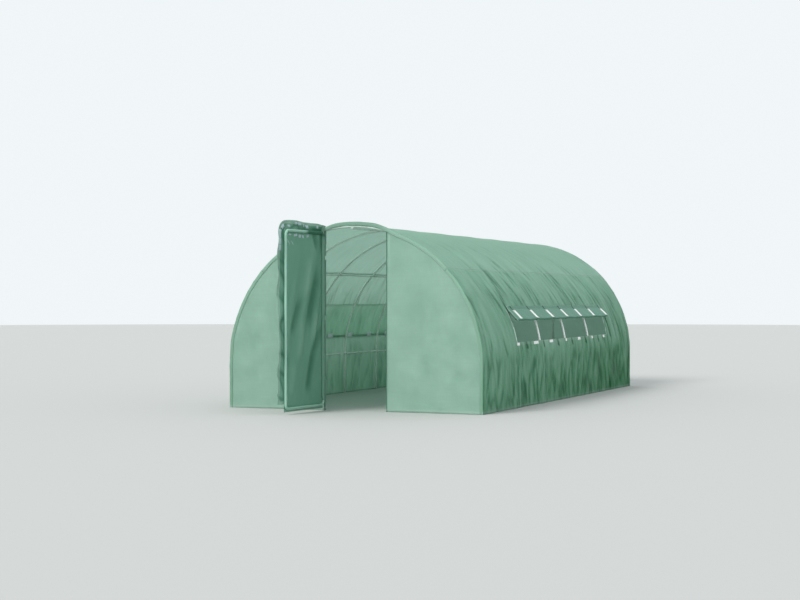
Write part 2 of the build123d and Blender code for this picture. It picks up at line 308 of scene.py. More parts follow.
screws = bmesh.new()
for name, angle in (
    ("ridge_purlin", pi / 2),
    ("shoulder_purlin_right", SHOULDER),
    ("shoulder_purlin_left", pi - SHOULDER),
    ("side_purlin_right", SIDE_PURLIN),
    ("side_purlin_left", pi - SIDE_PURLIN),
):
    seat = (
        Matrix.Translation((PURLIN_RADIUS * cos(angle), HOOP_PLACES[0], LEG + PURLIN_RADIUS * sin(angle)))
        @ Matrix.Rotation(pi / 2 - angle, 4, "Y")
    )
    tube = bmesh.new()
    stations = purlin_stations()
    ring = new_ring(tube, (0, stations[0][0], 0), (0, 1, 0), PURLIN / 2)
    before, size = stations[0][0], (1, 1)
    for after, pressed in stations:
        if after > before:
            ring = run_on(tube, ring, (0, after - before, 0))
        new_size = pressed_size(pressed)
        for vert in ring_verts(ring):
            vert.co.x *= new_size[0] / size[0]
            vert.co.z *= new_size[1] / size[1]
        before, size = after, new_size
    close_end(tube, ring)
    bmesh.ops.transform(tube, matrix=seat, verts=tube.verts)
    show(f"pressed_{name}", tube, "tunnel", tube_zinc, [name])
    for place in HOOP_PLACES:
        for radius, height, sides, drop in (
            (SCREW_HEAD * 1.3, WASHER, 24, FLAT_HEIGHT / 2),
            (SCREW_HEAD, 0.005, 6, FLAT_HEIGHT / 2 + WASHER),
            (SCREW_HEAD / 2, 0.009, 16, FLAT_HEIGHT / 2 + WASHER),
        ):
            place_on_purlin = (0, place - HOOP_PLACES[0], -drop - height / 2)
            add_rod(screws, radius, sides, height, seat @ Matrix.Translation(place_on_purlin))
screw_zinc = galvanized("screw_zinc", (0.5, 0.51, 0.5), (0.68, 0.69, 0.67), 0.28, 0.9)
show("purlin_screws", screws, "tunnel", screw_zinc, rounded=False)

# Posts
# Two posts at each end stand on the ground, and their tops are cut to a fish mouth that fits the hoop. The front
# pair stands at the sides of the doorway.
MOUTH_PLAY = 0.0004
POST_LENGTHS = 1.8, 0.1
for name in ("front_post_left", "front_post_right", "rear_post_left", "rear_post_right"):
    hoop_y = HOOP_PLACES[0] if name.startswith("front") else HOOP_PLACES[-1]
    tube = bmesh.new()
    ring = new_ring(tube, (middle_of(name, 0), hoop_y, 0), UP)
    for length in POST_LENGTHS:
        ring = run_on(tube, ring, UP * length)
    for vert in ring_verts(ring):
        across = sqrt(max(0, (TUBE / 2 + MOUTH_PLAY) ** 2 - (vert.co.y - hoop_y) ** 2))
        vert.co.z = LEG + sqrt((HOOP_RADIUS - across) ** 2 - vert.co.x**2)
    close_end(tube, ring)
    show(f"standing_{name}", tube, "tunnel", tube_zinc, [name])

# Cover
# Woven polyethylene cloth, laminated green, is pulled over the hoops in three widths sewn at the shoulders.
# It sags a little between the hoops, creases from the pull and turns over the end hoops in a sewn rim.
SKIN = ARCH - 0.0005
CLOTH = 0.001
QUARTER = SKIN * pi / 2
SEAM = SKIN * (pi / 2 - SHOULDER)
SEAM_LAP = 0.005
GROUND = QUARTER + LEG
RIM_PROUD = 0.002
RIM_BEND = 0.009
RIM_DROP = 0.030
RIM_TURN = RIM_BEND * pi / 2
RUN = REAR - FRONT + 2 * RIM_PROUD - 2 * RIM_BEND
COVER_START = FRONT - RIM_PROUD + RIM_BEND
HEM = 0.03
BAY_SAG = 0.011
DOOR_MIDDLE = (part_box("front_post_left")[1].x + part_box("front_post_right")[0].x) / 2
BRIM_LIFT = 0.037
BRIM_HALF = 0.52
SILL_HEIGHT = 0.75
HEAD_HEIGHT = 1.1
SILL = SKIN * (pi / 2 - asin((SILL_HEIGHT - LEG) / ARCH))
HEAD = SKIN * (pi / 2 - asin((HEAD_HEIGHT - LEG) / ARCH))
WINDOW_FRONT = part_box("window_end_front_right")[1].y
WINDOW_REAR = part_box("window_end_rear_right")[0].y
TAB_PLACES = [FRONT + 1.2 + 0.585 * number for number in range(7)]


def woven_cloth(name, thread, ground, glow, see_through, painted_low_shade=1.0):
    """Laminated woven cloth. The UV map is the flat cloth in metres and draws the tape yarns, the thicker rip yarns
    and the rows of stitches. The attribute hem is the distance to a sewn edge, where cloth is doubled. The shading
    attribute is painted light: towards 1 a painted highlight on ridges, partly the whitening of stretched cloth, and
    towards -1 painted shade in hollows, which also darkens the light let through and takes gloss away. A low-shade
    factor under 1 paints shade near the ground, more towards the tunnel's rear, on the colour and on the light let
    through."""
    cloth = Recipe(name)
    made, maths, ramp, tinted = cloth.made, cloth.maths, cloth.ramp, cloth.tinted
    flat = cloth.flat_map()
    across, along = made("ShaderNodeSeparateXYZ", flat).node.outputs[:2]
    yarn = maths("MINIMUM", maths("PINGPONG", across, 0.0045), maths("PINGPONG", along, 0.0045))
    rip = ramp(yarn, 0.0004, 0.0011, 1, 0)
    tapes = maths("MULTIPLY", maths("PINGPONG", across, 0.0011), maths("PINGPONG", along, 0.0011))
    clouds = made("ShaderNodeTexNoise", Vector=flat, Scale=3.2, Detail=5, Roughness=0.6)
    warp, weft = (
        made("ShaderNodeTexNoise", Vector=made("ShaderNodeMapping", Vector=flat, Scale=scale), Scale=1, Detail=3)
        for scale in ((3, 42, 1), (120, 9, 1))
    )
    streaks = maths("ADD", warp, weft)
    sewn, shading_paint = made("ShaderNodeAttribute").node, made("ShaderNodeAttribute").node
    sewn.attribute_name, shading_paint.attribute_name = "hem", "painted_shading"
    sewn, shading_paint = sewn.outputs["Fac"], shading_paint.outputs["Fac"]
    doubled = ramp(sewn, HEM, HEM + 0.0015, 1, 0)
    dash = ramp(maths("PINGPONG", maths("ADD", across, along), 0.0035), 0.0007, 0.0012, 0, 1)
    inner_row, outer_row = (maths("ABSOLUTE", maths("SUBTRACT", sewn, row)) for row in (HEM - 0.004, 0.006))
    stitch = maths("MULTIPLY", ramp(maths("MINIMUM", inner_row, outer_row), 0.0005, 0.0009, 1, 0), dash)
    colour = tinted(ramp(clouds, 0.3, 0.7, 0, 1), (*ground, 1), (*thread, 1))
    colour = tinted(ramp(streaks, 0.75, 1.25, 0, 0.5), colour, (*thread, 1))
    colour = tinted(maths("MULTIPLY", rip, 0.2), colour, (0.8, 0.92, 0.86, 1))
    bright, dull, seam = ((*(part * share for part in glow), 1) for share in (1.04, 0.94, 0.84))
    light = tinted(doubled, tinted(ramp(streaks, 0.8, 1.2, 0, 1), bright, dull), seam)
    # Painted shade: the colour and the light let through darken towards the ground and the rear, with the height
    # wavered by noise.
    if painted_low_shade < 1:
        y, z = made("ShaderNodeSeparateXYZ", cloth.object_place()).node.outputs[1:]
        drift = made("ShaderNodeTexNoise", Vector=flat, Scale=2.4, Detail=4)
        height = maths("ADD", z, ramp(drift, 0.3, 0.7, -0.22, 0.22))
        low_shade_mask = maths("MULTIPLY", ramp(height, 0.15, 1.4, 1, 0), ramp(y, FRONT, REAR, 0.5, 1.08))
        colour = tinted(low_shade_mask, colour, (painted_low_shade * 0.2, painted_low_shade, painted_low_shade * 0.48, 1), "MULTIPLY")
        light = tinted(maths("MULTIPLY", low_shade_mask, 0.65), light, (painted_low_shade * 0.6, painted_low_shade, painted_low_shade * 0.8, 1), "MULTIPLY")
    # Painted shade: where the shading attribute is negative, this dark colour darkens both the colour and the light
    # let through.
    painted_shade = (0.32, 0.48, 0.42, 1)
    colour = tinted(ramp(shading_paint, -1, 0, 1, 0), colour, painted_shade, "MULTIPLY")
    light = tinted(ramp(shading_paint, -1, 0, 0.7, 0), light, painted_shade, "MULTIPLY")
    # Painted highlight where the shading attribute is positive, partly the whitening of stretched cloth.
    colour = tinted(ramp(shading_paint, 0, 1, 0, 0.45), colour, (0.50, 0.72, 0.60, 1))
    colour = tinted(maths("MULTIPLY", doubled, 0.3), colour, (0.55, 0.76, 0.65, 1))
    colour = tinted(maths("MULTIPLY", stitch, 0.6), colour, (0.75, 0.85, 0.8, 1))
    relief = maths("ADD", maths("MULTIPLY", rip, 0.5), maths("MULTIPLY", tapes, 250000))
    relief = maths("ADD", relief, maths("MULTIPLY", stitch, 2))
    cloth.wear(
        Base_Color=colour,
        Roughness=ramp(clouds, 0.3, 0.7, 0.41, 0.54),
        # Less gloss in the hollows: painted shade.
        Specular_IOR_Level=ramp(shading_paint, -1, 0, 0.05, 0.35),
        Normal=made("ShaderNodeBump", Height=relief, Strength=0.35, Distance=0.0004),
    )
    surface = cloth.nodes["Principled BSDF"].outputs[0]
    mixed = made("ShaderNodeMixShader", see_through, surface, made("ShaderNodeBsdfTranslucent", light))
    cloth.plug(cloth.nodes["Material Output"], [("Surface", mixed)])
    return cloth.material


# One cloth in copies: the roof's slightly lighter, the sides' darker and greener, painted light and shade for how
# each part is lit.
roof_cloth = woven_cloth("roof_cloth", (0.28, 0.50, 0.38), (0.21, 0.42, 0.30), (0.80, 0.96, 0.90), 0.5)
side_cloth = woven_cloth("side_cloth", (0.24, 0.48, 0.34), (0.18, 0.41, 0.28), (0.78, 0.94, 0.87), 0.5, painted_low_shade=0.51)


def spread(start, end, count):
    return [start + (end - start) * step / count for step in range(count + 1)]


def cut_cloth(columns, rows):
    """Flat cloth with its threads' grid at the given places, columns across and rows along."""
    bm = bmesh.new()
    bmesh.ops.create_grid(bm, x_segments=len(columns) - 1, y_segments=len(rows) - 1, size=0.5)
    for vert in bm.verts:
        vert.co.x = columns[round((vert.co.x + 0.5) * (len(columns) - 1))]
        vert.co.y = rows[round((vert.co.y + 0.5) * (len(rows) - 1))]
    return bm


def cut_away(bm, low, high):
    """Cuts a rectangle out of flat cloth."""
    for corner, way in ((low, (1, 0, 0)), (low, (0, 1, 0)), (high, (1, 0, 0)), (high, (0, 1, 0))):
        geom = bm.verts[:] + bm.edges[:] + bm.faces[:]
        bmesh.ops.bisect_plane(bm, geom=geom, plane_co=(*corner, 0), plane_no=way)
    gone = []
    for face in bm.faces:
        middle = face.calc_center_median()
        if low[0] < middle.x < high[0] and low[1] < middle.y < high[1]:
            gone.append(face)
    bmesh.ops.delete(bm, geom=gone, context="FACES")


def hang(name, bm, shape, hem, body, material, replaced, thickness=CLOTH, flip=False, painted_shading=None):
    """Hangs flat cloth: shape gives each flat point its place, hem its distance to a sewn edge and the shading
    function the painted light there, positive for a painted highlight and negative for painted shade."""
    edge = bm.verts.layers.float.new("hem")
    shading_paint = bm.verts.layers.float.new("painted_shading")
    threads = bm.loops.layers.uv.new("flat")
    for face in bm.faces:
        for loop in face.loops:
            loop[threads].uv = loop.vert.co.xy
    for vert in bm.verts:
        across, along = vert.co.x, vert.co.y
        vert[edge] = hem(across, along)
        vert[shading_paint] = painted_shading(across, along) if painted_shading else 0
        vert.co = shape(across, along)
    if flip:
        bmesh.ops.reverse_faces(bm, faces=bm.faces)
    piece = show(name, bm, body, material, replaced)
    skin = piece.modifiers.new("cloth_thickness", "SOLIDIFY")
    skin.thickness = thickness
    skin.offset = -1
    return piece


def smooth(value):
    value = min(1, max(0, value))
    return value * value * (3 - 2 * value)


def waver(across, along, seed=0.0):
    """Smooth unevenness, from -1 to 1."""
    return noise.noise(Vector((across, along, seed)))


def crest(across, along, seed):
    """Narrow ridges with broad hollows between, from 0 to 1."""
    return max(0, 1 - 3.2 * abs(waver(across, along, seed)))


def bay_sag(y):
    """How far the cloth hangs in from the line of the hoops, as a share of the most."""
    pitch = HOOP_PLACES[1] - HOOP_PLACES[0]
    step = (y - HOOP_PLACES[0]) / pitch
    if not 0 < step < len(HOOP_PLACES) - 1:
        return 0
    rounding = 0.012
    off = sqrt((abs(step - round(step)) * pitch) ** 2 + rounding**2) - rounding
    return 1 - (1 - min(1, off / (pitch / 2 - rounding))) ** 1.7


def side_of(around):
    """Distance from the ridge, and the side that it is on: 1 for the right and 2 for the left."""
    return abs(around), 1 if around > 0 else 2


def pull_creases(around, y):
    """The side's creases at a place: ridges and hollows drawn down from the shoulder, and folds of the skirt,
    each from 0 to 1."""
    low, hand = side_of(around)
    pulls = smooth((low - 0.55) / 0.7) * (1 - 0.4 * smooth((low - SILL) / 0.4))
    skirt = smooth((low - SILL + 0.02) / 0.3)
    ridges = pulls * crest((y - 0.16 * low) / 0.17, low / 1.1, 10 * hand)
    ridges = max(ridges, 0.8 * pulls * crest((y - 0.42 * low) / 0.08, low / 0.5, 20 * hand))
    hollows = 0.75 * pulls * crest((y - 0.24 * low) / 0.14, low / 0.8, 30 * hand)
    folds = skirt * crest((y + 0.1 * low) / 0.19, low / 0.55, 50 * hand)
    return ridges, hollows, folds


def cloth_lift(around, y):
    """How far the cloth stands off the round of the hoops: the sag of each bay, the creases that run down from
    the shoulder, the loose folds of the skirt and the flare of its foot."""
    low, hand = side_of(around)
    ridges, hollows, folds = pull_creases(around, y)
    loose = 0.0022 * waver(around / 0.32, y / 0.3, 1) + 0.007 * ridges - 0.005 * hollows - 0.007 * folds
    settled = smooth(min(y - FRONT, REAR - y) / 0.35)
    skirt = settled * smooth((low - SILL + 0.1) / 0.5)
    loose += 0.009 * skirt * waver((y + 0.12 * low) / 0.13, low / 1.2, 40 * hand)
    foot = settled * smooth((low - GROUND + 0.3) / 0.3)
    loose += foot * (0.009 + 0.008 * waver(y / 0.23, 0, 60 * hand))
    if loose < 0:
        loose *= smooth(min(abs(y - place) for place in HOOP_PLACES) / 0.1)
    sag = BAY_SAG * (0.4 + 0.6 * smooth(low / 0.9)) * bay_sag(y)
    return loose - sag * (0.75 + 0.5 * waver(around * 0.9, y * 1.3, 5))


def over_doorway(around):
    return smooth(1.6 * (1 - abs(around - DOOR_MIDDLE) / BRIM_HALF))


def cover_painted_shading(around, along):
    """Painted light on the cover: painted highlights on its ridges, on the skirt's crests and over the hoops, partly
    the whitening of stretched cloth, and painted shade in its hollows and folds, in blots on the skirt, in marks
    between the sill's tabs and in a shadow line behind the window."""
    # The rims get a faint painted highlight, and painted shade where they arch over the doorway.
    if along < 0 or along > RUN:
        return 0.1 - 0.6 * over_doorway(around)
    y = COVER_START + along
    low, hand = side_of(around)
    ridges, hollows, folds = pull_creases(around, y)
    skirt = smooth((low - SILL + 0.05) / 0.35)
    shade_blots = skirt * smooth(2.2 * waver((y + 0.15 * low) / 0.11, low / 0.42, 80 * hand))
    skirt_highlights = 0.8 * skirt * crest((y - 0.05 * low) / 0.1, low / 0.4, 90 * hand)
    hoop_highlight = max(0, 1 - min(abs(y - place) for place in HOOP_PLACES[1:-1]) / 0.02)
    aside = min(abs(y - place - 0.29 - 0.4 * (low - SILL)) for place in TAB_PLACES[:-1])
    tab_shade_mark = smooth(1.6 - aside / 0.026) * smooth(1.6 - abs(low - SILL - 0.045) / 0.045)
    shadow_behind_window = smooth(1.6 - abs(y - WINDOW_REAR - 0.06 - 0.3 * (low - HEAD)) / 0.028)
    shadow_behind_window *= smooth((low - HEAD) / 0.03) * smooth((SILL + 0.06 - low) / 0.04)
    # Painted shade beside the tabs and behind the window wins; elsewhere painted highlights less painted shade,
    # weaker on the left.
    if hand == 1 and max(tab_shade_mark, shadow_behind_window) > 0.3:
        return -1.2 * max(tab_shade_mark, shadow_behind_window)
    return (max(ridges, skirt_highlights, 0.5 * hoop_highlight) - max(hollows, folds, shade_blots)) * (1 if hand == 1 else 0.6)


def sill_sag(around, y):
    """How far the right side's sill has sunk: most at the front end of the window."""
    share = (y - WINDOW_FRONT) / (WINDOW_REAR - WINDOW_FRONT)
    near = smooth(1 - abs(around - SILL) / 0.17) * smooth((y - FRONT - 0.3) / 0.8) * smooth((REAR - y - 0.1) / 0.5)
    return near * (0.006 + 0.02 * (1 - share))


def cover_point(around, along, lap=0.0):
    """Place of the cover's cloth: around is measured over the arch from the ridge, along from the front rim."""
    around += sill_sag(around, COVER_START + along)
    past = max(-along, along - RUN, 0)
    end = -1 if along < RUN / 2 else 1
    turn = min(past, RIM_TURN) / RIM_BEND
    drop = RIM_BEND * (1 - cos(turn)) + max(0, past - RIM_TURN)
    y = COVER_START + min(max(along, 0), RUN) + end * RIM_BEND * sin(turn)
    lift = cloth_lift(around, y) + lap - drop
    if past > 0:
        y += end * 0.0012 * waver(around / 0.12, 3) * min(1, past / RIM_TURN)
        lift += 0.003 * waver(around / 0.16, 8) * smooth(drop / RIM_DROP)
    doorway = over_doorway(around) * (end < 0)
    lift += doorway * smooth(1 - max(0, y - FRONT) / 0.22) * (BRIM_LIFT + 0.004 * waver(around / 0.1, 4))
    y -= 0.006 * doorway * smooth(past / RIM_TURN)
    radius = SKIN + lift
    if abs(around) < QUARTER:
        return Vector((radius * sin(around / SKIN), y, LEG + radius * cos(around / SKIN)))
    return Vector((radius * (1 if around > 0 else -1), y, LEG - (abs(around) - QUARTER)))


def cover_rows(per_bay):
    """Places along the cover, closer at the rims and where the cloth bends over a hoop."""
    rows = [-RIM_TURN - RIM_DROP * (1 - step / 4) for step in range(4)]
    rows += [-RIM_TURN * (1 - step / 5) for step in range(5)]
    stops = [0] + [place - COVER_START for place in HOOP_PLACES] + [RUN]
    for number, (low, high) in enumerate(zip(stops, stops[1:])):
        count = per_bay if 0 < number < len(stops) - 2 else 2
        for step in range(count):
            bunch = 0.68 * sin(2 * pi * step / count) / (2 * pi) if count > 2 else 0
            rows.append(low + (high - low) * (step / count - bunch))
    rows += [RUN + RIM_TURN * step / 5 for step in range(6)]
    return rows + [RUN + RIM_TURN + RIM_DROP * (step + 1) / 4 for step in range(4)]


def rim_edge(along):
    return min(along + RIM_TURN + RIM_DROP, RUN + RIM_TURN + RIM_DROP - along)


roof_skin = hang(
    "roof_skin",
    cut_cloth(spread(-SEAM - SEAM_LAP, SEAM + SEAM_LAP, 84), cover_rows(44)),
    cover_point,
    lambda around, along: min(rim_edge(along), SEAM + SEAM_LAP - abs(around)),
    "tunnel",
    roof_cloth,
    ["roof_cover"],
    painted_shading=cover_painted_shading,
)

SIDE_WIDE = GROUND - SEAM + SEAM_LAP
SIDE_OVER = 0.0014
SIDE_EASE = 0.1
UNDER_FLAP = 0.042, 0.028, 0.008
window_start = WINDOW_FRONT - COVER_START
window_end = WINDOW_REAR - COVER_START


def side_hem(around, along):
    """Distance to the nearest sewn edge of a side: the rims, the foot and the border of the window."""
    beside = max(window_start - along, along - window_end)
    window = max(beside, HEAD - around, around - SILL)
    return min(rim_edge(along), GROUND - around, window if window >= 0 else 1)


def side_lap(around):
    """How far a side lies over the roof cloth at the seam, easing off below it."""
    return SIDE_OVER * smooth((SEAM + SIDE_EASE - around) / SIDE_EASE)


for side, hand in (("right", 1), ("left", -1)):
    cloth = cut_cloth(spread(GROUND - SIDE_WIDE, GROUND, 96), cover_rows(60))
    above, beside, below = UNDER_FLAP if side == "left" else (0, 0, 0)
    cut_away(cloth, (HEAD - above, window_start - beside), (SILL + below, window_end + beside))
    side_skin = hang(
        f"side_skin_{side}",
        cloth,
        lambda around, along: cover_point(around * hand, along, side_lap(around)),
        side_hem,
        "tunnel",
        side_cloth,
        [f"shoulder_cover_{side}", f"side_cover_{side}", f"window_end_front_{side}", f"window_end_rear_{side}"],
        flip=hand < 0,
        painted_shading=lambda around, along: cover_painted_shading(around * hand, along),
    )

# End walls
# Flat cloth closes each end inside the cover's rim. The front is in two pieces, each turned round its post at
# the doorway and hemmed there. The left one is slit where the hinge clips reach through to the post.
WALL_RADIUS = SKIN - 0.0035
WALL_SET = 0.0016
POST_X = -middle_of("front_post_left", 0)
DOOR_POST_X = middle_of("front_post_right", 0)
REAR_POST_X = middle_of("rear_post_right", 0)
CLIPS = {clip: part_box(f"hinge_clip_{clip}") for clip in ("low", "middle", "top")}
WRAP_RADIUS = TUBE / 2 + 0.0016
WRAP_PROUD = 0.0142
WRAP_LENGTH = 0.062
WALL_SLACK = 0.009
CLIP_PLAY = 0.006
CLIP_REACH = 0.0215
AREA_STRIPS = 400
# The walls' cloth is a lighter copy of the cover's cloth: painted light for the sunlit front wall.
wall_cloth = woven_cloth("wall_cloth", (0.345, 0.53, 0.44), (0.21, 0.37, 0.295), (0.72, 0.88, 0.80), 0.45)


def arch_top(x):
    return LEG + sqrt(max(0, WALL_RADIUS**2 - min(abs(x), WALL_RADIUS) ** 2))


def cut_wall(columns, rises):
    """Flat wall cloth under the arch: each column runs from the ground up to the arch."""
    bm = cut_cloth(columns, spread(0, 1, rises))
    for vert in bm.verts:
        vert.co.y *= arch_top(max(vert.co.x, columns[0] + WRAP_LENGTH) if columns[0] > 0 else vert.co.x)
    return bm


def wall_columns(start, count):
    """Places across a wall, closer together towards the springing of the arch."""
    return [WALL_RADIUS * sin(turn) for turn in spread(asin(start / WALL_RADIUS), pi / 2, count)]


def wall_depth(x, z, posts, seed):
    """How far the wall stands in from the end: it rests on hoop and posts, and hangs a little slack between."""
    to_arch = WALL_RADIUS - sqrt(x * x + max(0, z - LEG) ** 2)
    to_post = min(abs(x - post) for post in posts) - TUBE / 2
    slack = smooth(to_arch / 0.3) * smooth((to_post + 0.004) / 0.12)
    depth = WALL_SET + WALL_SLACK * slack * (0.75 + 0.4 * waver(x / 0.6, z / 0.7, seed))
    depth -= 0.0022 * slack * crest((x + 0.5 * z) / 0.3, (z - 0.5 * x) / 1.1, seed + 3)
    depth += 0.0016 * slack * crest((x - 0.7 * z) / 0.26, (z + 0.7 * x) / 1.0, seed + 7)
    return depth - 0.004 * smooth(1 - z / 0.1) * (1 + waver(x / 0.15, 0, seed + 11))


def front_wall_point(across, height, post, hand):
    """Place of a front wall's cloth; across is its distance from the middle, less than post where it turns
    back round the post in a loose hem that stands out into the doorway."""
    if across >= post:
        x, y = across, FRONT + wall_depth(across * hand, height, (-POST_X, DOOR_POST_X), 70 * hand)
        return Vector((x * hand, y, height))
    turn = pi * (post - across) / WRAP_LENGTH
    radius = WRAP_RADIUS + (WRAP_PROUD + 0.003 * waver(height / 0.3, 0, 66)) * max(0, cos(turn - 1.75)) ** 5
    x = post - radius * sin(turn)
    y = HOOP_PLACES[0] - radius * cos(turn)
    return Vector((x * hand, y, height))


def front_wall_painted_shading(across, height, post, hand):
    """Painted shade where the hem turns into the doorway, and a painted highlight where the right wall bends over
    its post.
    """
    turn = pi * (post - across) / WRAP_LENGTH
    # Painted highlight down the right wall's bulge over its post, strongest near its top.
    gleam = 0.45 * smooth((height - 1.2) / 0.3) + 0.55 * smooth((height - 1.70) / 0.04)
    gleam *= smooth((1.9 - height) / 0.03) * smooth(1.6 - abs(across - post - 0.013) / 0.006) * (hand > 0)
    return gleam - smooth(1.5 - abs(turn - 1.05) / 0.3)


for side, hand, post in (("left", -1, POST_X), ("right", 1, DOOR_POST_X)):
    wrap = spread(post - WRAP_LENGTH, post, 18)[:-1]
    near = [post + TUBE * share for share in (0, 0.15, 0.3, 0.5, 0.75, 1.1)]
    cloth = cut_wall(wrap + near + wall_columns(post + TUBE * 1.8, 44), 72)
    if hand < 0:
        for low, high in CLIPS.values():
            cut_away(cloth, (-1, low.z - CLIP_PLAY), (post + CLIP_REACH, high.z + CLIP_PLAY))
    wall = hang(
        f"front_wall_cloth_{side}",
        cloth,
        lambda across, height: front_wall_point(across, height, post, hand),
        lambda across, height: min(height, across - post + WRAP_LENGTH),
        "tunnel",
        wall_cloth,
        [f"front_wall_{side}"],
        flip=hand < 0,
        painted_shading=lambda across, height: front_wall_painted_shading(across, height, post, hand),
    )
    wide = WALL_RADIUS - post + WRAP_LENGTH
    strip = (wide - WRAP_LENGTH) / AREA_STRIPS
    area = strip * sum(arch_top(post + strip * (number + 0.5)) for number in range(AREA_STRIPS))
    arch_top(post)
    area + WRAP_LENGTH * arch_top(post)

rear_wall = hang(
    "rear_wall_cloth",
    cut_wall([-place for place in reversed(wall_columns(0, 46))] + wall_columns(0, 46)[1:], 72),
    lambda across, height: Vector(
        (across, REAR - wall_depth(across, height, (-REAR_POST_X, REAR_POST_X), 90), height)
    ),
    lambda across, height: height,
    "tunnel",
    wall_cloth,
    ["rear_wall"],
    flip=True,
)

# Windows
# A long opening in each side has a flap sewn above it. The left flap hangs closed over tabs on the sill's inner
# face. The right one is folded in three and propped out, with seven white strips of hook tape, and above each strip
# a narrow dark strip that is painted shade of a pinch in the cloth.
STRIP_PLACES = [FRONT + 1.29 + 0.595 * number for number in range(7)]
INNER_TAB_PLACES = [FRONT + 1.34 + 0.598 * number for number in range(6)]
FLAP_LAP = 0.045
FLAP_FRONT = WINDOW_FRONT - FLAP_LAP
FLAP_REAR = WINDOW_REAR + FLAP_LAP
TAPE = 0.0014
TAPE_CELL = 0.012
TAPE_LIFT = 0.001
# The propped-out flap wears a much darker copy of the cover's cloth: painted shade on its sun-facing band.
open_flap_cloth = woven_cloth("open_flap_cloth", (0.09, 0.30, 0.20), (0.07, 0.26, 0.17), (0.2, 0.4, 0.3), 0.08)
# The closed flap wears a darker copy of the side's cloth: painted shade, with painted low shade as well.
closed_flap_cloth = woven_cloth(
    "closed_flap_cloth", (0.20, 0.41, 0.29), (0.17, 0.37, 0.26), (0.64, 0.83, 0.73), 0.5, painted_low_shade=0.72
)


def hook_tape(name, colour, roughness):
    """Woven nylon tape: fine ribs across it, small hooks and slight soiling."""
    tape = Recipe(name)
    flat = tape.flat_map()
    soil = tape.made("ShaderNodeTexNoise", Vector=flat, Scale=40, Detail=5)
    hooks = tape.made("ShaderNodeTexVoronoi", Vector=flat, Scale=700)
    soiled = (*(part * 0.82 for part in colour), 1)
    return tape.wear(
        Base_Color=tape.tinted(tape.ramp(soil, 0.3, 0.6, 0, 1), soiled, (*colour, 1)),
        Roughness=roughness,
        Normal=tape.made("ShaderNodeBump", Height=hooks, Strength=0.4, Distance=0.0005),
    )


white_tape = hook_tape("white_tape", (0.93, 0.97, 0.95), 0.75)
# Near-black tape for the strips of painted shade above the hook strips.
shade_strip_material = hook_tape("shade_strip_material", (0.03, 0.10, 0.065), 0.9)


def lay_tapes(name, tapes, point, body, material, replaced=(), flip=False):
    """Lays flat tapes on cloth. Each is its middle across and along, its width, its length and its slant."""
    bm = bmesh.new()
    threads = bm.loops.layers.uv.new("flat")
    for across, along, width, length, slant in tapes:
        counts = [max(2, ceil(side / TAPE_CELL)) for side in (width, length)]
        strip = bmesh.ops.create_grid(bm, x_segments=counts[0], y_segments=counts[1], size=0.5)["verts"]
        for face in {face for vert in strip for face in vert.link_faces}:
            for loop in face.loops:
                loop[threads].uv = (loop.vert.co.x * width, loop.vert.co.y * length)
        for vert in strip:
            vert.co = point(across + vert.co.x * width, along + vert.co.y * length + vert.co.x * slant)
    if flip:
        bmesh.ops.reverse_faces(bm, faces=bm.faces)
    piece = show(name, bm, body, material, replaced)
    skin = piece.modifiers.new("tape_thickness", "SOLIDIFY")
    skin.thickness = TAPE
    skin.offset = 1


def on_cover(hand, lift):
    return lambda around, y: cover_point(hand * around, y - COVER_START, lift)


def ahead_and_left(heading):
    """The ways straight ahead and square to the left of a heading, in a flat section."""
    return Vector((cos(heading), sin(heading))), Vector((-sin(heading), cos(heading)))


def walk(place, heading, moves):
    """Follows a folded section: each move has a length, a turn and a count of steps. Gives each station's
    distance along the cloth, place and heading."""
    stations = [(0.0, Vector(place), heading)]
    for length, turn, steps in moves:
        for _ in range(steps):
            distance, place, heading = stations[-1]
            ahead = ahead_and_left(heading + turn / steps / 2)[0]
            stations.append((distance + length / steps, place + ahead * (length / steps), heading + turn / steps))
    return stations


head_turn = HEAD / SKIN
BAND_HEADING = radians(-45.5)
BAND = 0.165
FOLD_RADIUS = 0.0045
sewn_line = SKIN * sin(head_turn - 0.02), LEG + SKIN * cos(head_turn - 0.02)
fold_stations = walk(
    (sewn_line[0] + 0.005, sewn_line[1] + 0.002),
    -head_turn,
    (
        (0.030, 0, 3),
        (0.014, BAND_HEADING + head_turn, 4),
        (BAND - 0.02, 0, 12),
        (FOLD_RADIUS * pi, -pi, 8),
        (BAND - 0.03, 0, 10),
        (FOLD_RADIUS * 0.8 * pi, pi, 8),
        (BAND - 0.05, 0, 8),
    ),
)
fold_places = {distance: (place, heading) for distance, place, heading in fold_stations}
FOLDED_WIDE = fold_stations[-1][0]


def folded_point(place, heading, distance, y, lift=0.0):
    """Place of the folded flap: its free edge dips and billows between the strips, more in the inner folds."""
    reach = smooth((distance - 0.03) / (BAND - 0.03)) if distance < BAND else 1
    inner = max(0, distance - BAND - 0.02)
    beat = cos(2 * pi * (y - STRIP_PLACES[0]) / (STRIP_PLACES[1] - STRIP_PLACES[0]))
    place = place + ahead_and_left(heading)[1] * lift
    sink = reach * (0.003 * (1 - beat) + 0.006 * waver(y / 0.18, distance / 0.4, 3) + 0.003 * waver(y / 0.06, 0, 5))
    sink += reach * 0.018 * (FLAP_REAR - y) / (FLAP_REAR - FLAP_FRONT)
    bulge = reach * 0.004 * waver(y / 0.12, distance / 0.1, 9) + 0.012 * inner * waver(y / 0.1, 2, 8)
    down, out = ahead_and_left(BAND_HEADING)
    moved = place + down * sink + out * bulge
    return Vector((moved.x, y, moved.y))


